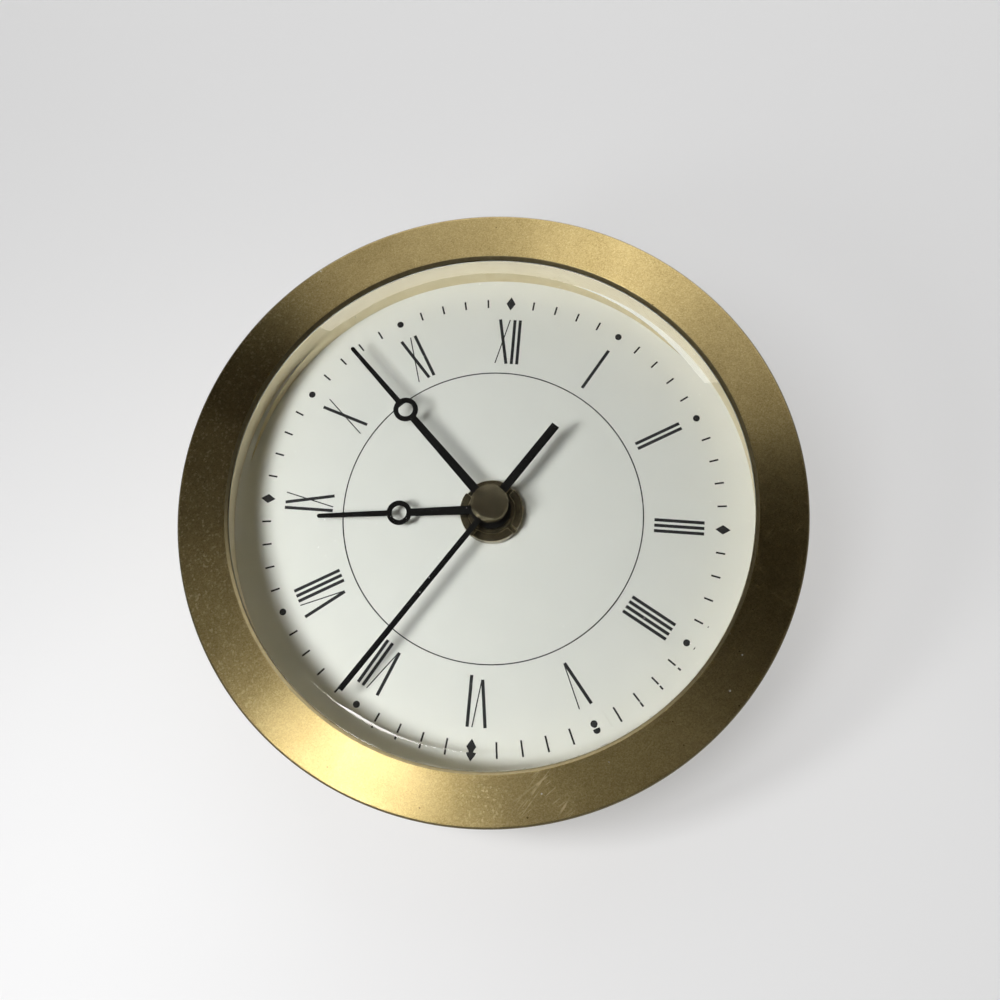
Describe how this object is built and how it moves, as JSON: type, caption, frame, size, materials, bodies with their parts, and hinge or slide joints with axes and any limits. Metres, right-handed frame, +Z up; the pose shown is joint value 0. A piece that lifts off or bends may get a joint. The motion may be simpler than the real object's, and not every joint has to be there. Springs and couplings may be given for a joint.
{
  "type": "desk clock",
  "caption": "Slanted brass drum desk clock: broad flat bezel, bevelled lens, Roman dial, three hands and a battery movement set by a knob behind.",
  "frame": {"origin": "middle of the clock's footprint box, on the table under the rubber feet", "axes": "+Z up, +Y from the low front edge to the high back edge, +X to the right seen from the front"},
  "size_m": [0.105, 0.1174, 0.0608],
  "materials": {
    "satin_brass": "satin, fine turned grain",
    "bright_brass": "turned, half bright",
    "ring_gold": "pale satin",
    "dial_white": "matte off-white paint",
    "clear_lens": "clear, polished",
    "black_hands": "matte black",
    "black_base": "matte black",
    "black_rubber": "matte",
    "plain_steel": "plain",
    "case_plastic": "fine moulded grain",
    "gear_plastic": "smooth moulded",
    "dark_magnet": "sintered",
    "copper_wire": "enamelled wire",
    "board_green": "lacquered",
    "chip_black": "moulded",
    "crystal_can": "bright can",
    "cell_wrapper": "plain printed wrapper"
  },
  "bodies": {
    "case": {"bezel": "satin_brass", "lens": "clear_lens", "dial_ring": "ring_gold", "dial": "dial_white", "drum_case": "satin_brass", "base_plate": "black_base", "base_screws": "plain_steel", "rubber_feet": "black_rubber", "fixing_nut": "bright_brass", "fixing_washer": "bright_brass", "rubber_washer": "black_rubber", "centre_bush": "bright_brass", "movement_front": "case_plastic", "movement_plate": "case_plastic", "movement_back": "case_plastic", "movement_screws": "plain_steel", "stator": "plain_steel", "coil_core": "plain_steel", "coil_bobbin": "case_plastic", "coil_winding": "copper_wire", "circuit_board": "board_green", "quartz_crystal": "crystal_can", "controller_chip": "chip_black", "battery": "cell_wrapper", "contact_plus": "plain_steel", "contact_minus": "plain_steel"},
    "second_train": {"second_wheel": "gear_plastic", "second_hand": "black_hands", "second_cap": "bright_brass"},
    "third_wheel": {"third_wheel": "gear_plastic"},
    "minute_wheel": {"minute_wheel": "gear_plastic"},
    "transfer_wheel": {"transfer_wheel": "gear_plastic"},
    "motor_rotor": {"rotor": "dark_magnet"},
    "minute_train": {"cannon_pinion": "bright_brass", "minute_hand": "black_hands"},
    "motion_wheel": {"motion_wheel": "gear_plastic"},
    "hour_train": {"hour_wheel": "gear_plastic", "hour_hand": "black_hands"},
    "setting_knob": {"setting_knob": "case_plastic"}
  },
  "joints": [
    {"name": "second_hand_spin", "type": "hinge", "parent": "case", "child": "second_train", "pos_m": [0, -0.00675, 0.03129], "axis": [0, 0.3955, -0.9184], "continuous": true},
    {"name": "minute_hand_spin", "type": "hinge", "parent": "case", "child": "minute_train", "pos_m": [0, -0.00675, 0.03129], "axis": [0, 0.3955, -0.9184], "continuous": true},
    {"name": "third_wheel_spin", "type": "hinge", "parent": "case", "child": "third_wheel", "pos_m": [-0.0106, -0.01237, 0.02887], "axis": [0, 0.3955, -0.9184], "continuous": true},
    {"name": "minute_wheel_spin", "type": "hinge", "parent": "case", "child": "minute_wheel", "pos_m": [0, -0.00675, 0.03129], "axis": [0, 0.3955, -0.9184], "continuous": true},
    {"name": "transfer_wheel_spin", "type": "hinge", "parent": "case", "child": "transfer_wheel", "pos_m": [0, 0.00096, 0.03461], "axis": [0, 0.3955, -0.9184], "continuous": true},
    {"name": "rotor_spin", "type": "hinge", "parent": "case", "child": "motor_rotor", "pos_m": [-0.00433, 0.00624, 0.03688], "axis": [0, 0.3955, -0.9184], "continuous": true},
    {"name": "motion_wheel_spin", "type": "hinge", "parent": "case", "child": "motion_wheel", "pos_m": [0.01, -0.00675, 0.03129], "axis": [0, 0.3955, -0.9184], "continuous": true},
    {"name": "hour_hand_spin", "type": "hinge", "parent": "case", "child": "hour_train", "pos_m": [0, -0.00675, 0.03129], "axis": [0, 0.3955, -0.9184], "continuous": true},
    {"name": "setting_knob_spin", "type": "hinge", "parent": "case", "child": "setting_knob", "pos_m": [0.01766, -0.01266, 0.02874], "axis": [0, 0.3955, -0.9184], "continuous": true}
  ],
  "couplings": [
    {"joint": "third_wheel_spin", "follows": "second_hand_spin", "ratio": -0.13333},
    {"joint": "minute_wheel_spin", "follows": "second_hand_spin", "ratio": 0.016667},
    {"joint": "transfer_wheel_spin", "follows": "second_hand_spin", "ratio": -6},
    {"joint": "rotor_spin", "follows": "second_hand_spin", "ratio": 30},
    {"joint": "motion_wheel_spin", "follows": "minute_hand_spin", "ratio": -0.33333},
    {"joint": "hour_hand_spin", "follows": "minute_hand_spin", "ratio": 0.083333},
    {"joint": "setting_knob_spin", "follows": "minute_hand_spin", "ratio": 1}
  ]
}
